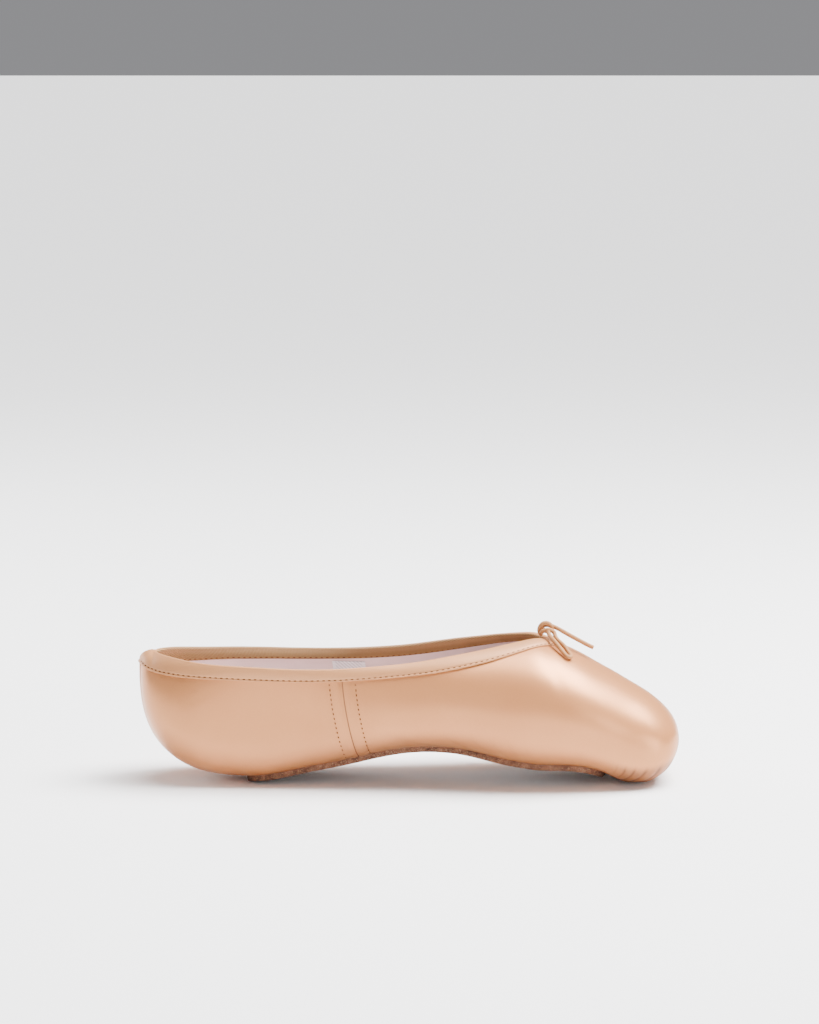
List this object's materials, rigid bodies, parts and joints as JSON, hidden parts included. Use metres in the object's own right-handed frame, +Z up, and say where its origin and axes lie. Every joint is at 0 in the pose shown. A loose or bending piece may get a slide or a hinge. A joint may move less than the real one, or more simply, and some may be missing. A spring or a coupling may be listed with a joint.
{
  "type": "pointe shoe",
  "caption": "Satin pointe shoe with stiffened box, bound collar, drawstring knot at the throat, leather outsole and insole.",
  "frame": {"origin": "under the middle of the shoe, on the floor", "axes": "+X from heel to toe, +Y to one side, +Z up"},
  "size_m": [0.241, 0.076, 0.0706],
  "materials": {
    "satin": "peach satin with a soft gloss",
    "binding_cloth": "bias satin binding, twill on its inner side",
    "sole_leather": "rough brown leather",
    "insole_board": "pale cotton over board",
    "drawstring_cord": "round woven cord"
  },
  "bodies": {
    "root": {"upper": "satin", "binding": "binding_cloth", "outsole": "sole_leather", "insole": "insole_board", "drawstring_knot": "drawstring_cord", "drawstring_loop": "drawstring_cord", "drawstring_end": "drawstring_cord"}
  },
  "joints": []
}
